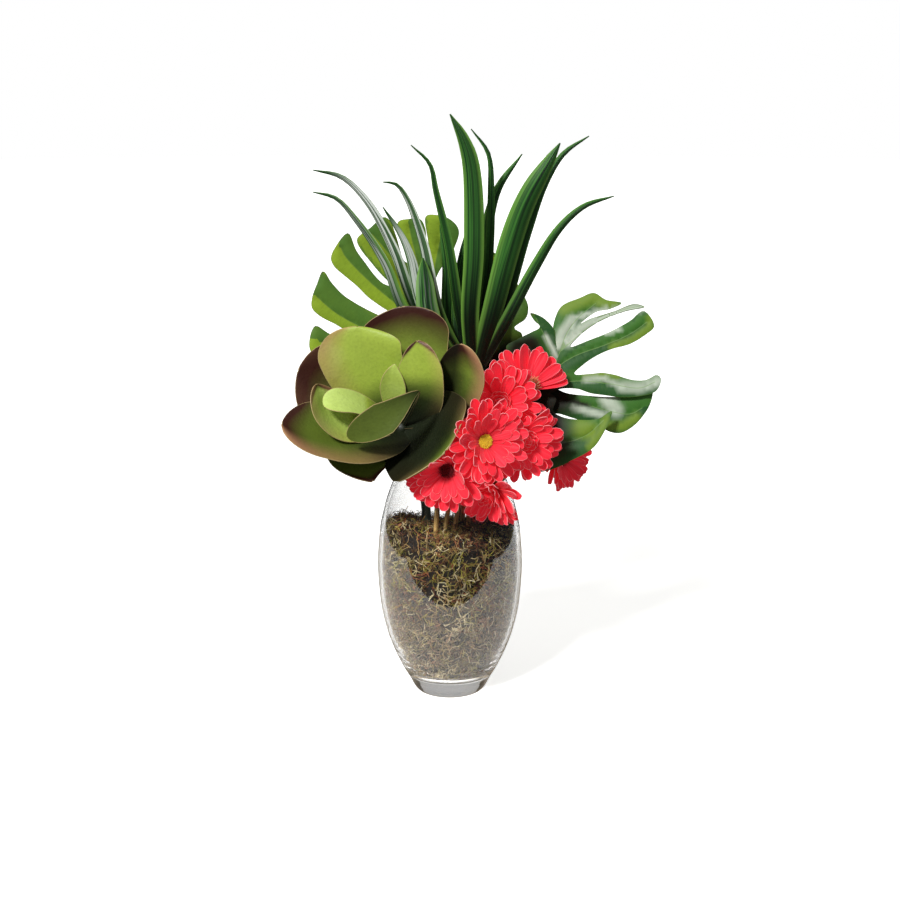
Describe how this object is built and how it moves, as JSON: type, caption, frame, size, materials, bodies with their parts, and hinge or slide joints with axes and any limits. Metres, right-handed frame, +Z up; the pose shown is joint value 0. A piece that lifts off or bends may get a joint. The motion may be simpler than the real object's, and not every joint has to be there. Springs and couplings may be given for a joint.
{
  "type": "gerberas in a vase",
  "caption": "Flower arrangement of red gerberas, a succulent rosette, monstera and sword-shaped leaves, standing in a moss-filled barrel vase of clear glass.",
  "frame": {"origin": "centre of the vase's foot, on the surface that it stands on", "axes": "+Z up along the vase's axis, -Y towards the front, where the flowers face, +X to the viewer's right"},
  "size_m": [0.4039, 0.2441, 0.6409],
  "materials": {
    "vase_glass": "polished",
    "moss": "matte",
    "succulent_leaf": "satin",
    "sword_leaf": "satin",
    "monstera_olive": "satin",
    "monstera_green": "gloss",
    "gerbera_stem": "matte",
    "petal_red": "matte",
    "disc_tan": "matte",
    "disc_red": "matte",
    "disc_yellow": "matte"
  },
  "bodies": {
    "root": {"vase": "vase_glass", "moss": "moss", "succulent": "succulent_leaf", "sword_leaves": "sword_leaf", "monstera_left": "monstera_olive", "monstera_right": "monstera_green", "monstera_back": "monstera_olive", "gerbera_1_stem": "gerbera_stem", "gerbera_1_disc": "disc_tan", "gerbera_1_petals": "petal_red", "gerbera_2_stem": "gerbera_stem", "gerbera_2_disc": "disc_red", "gerbera_2_petals": "petal_red", "gerbera_3_stem": "gerbera_stem", "gerbera_3_disc": "disc_red", "gerbera_3_petals": "petal_red", "gerbera_4_stem": "gerbera_stem", "gerbera_4_disc": "disc_yellow", "gerbera_4_petals": "petal_red", "gerbera_5_stem": "gerbera_stem", "gerbera_5_disc": "disc_red", "gerbera_5_petals": "petal_red", "gerbera_6_stem": "gerbera_stem", "gerbera_6_disc": "disc_red", "gerbera_6_petals": "petal_red", "gerbera_7_stem": "gerbera_stem", "gerbera_7_disc": "disc_red", "gerbera_7_petals": "petal_red"}
  },
  "joints": []
}
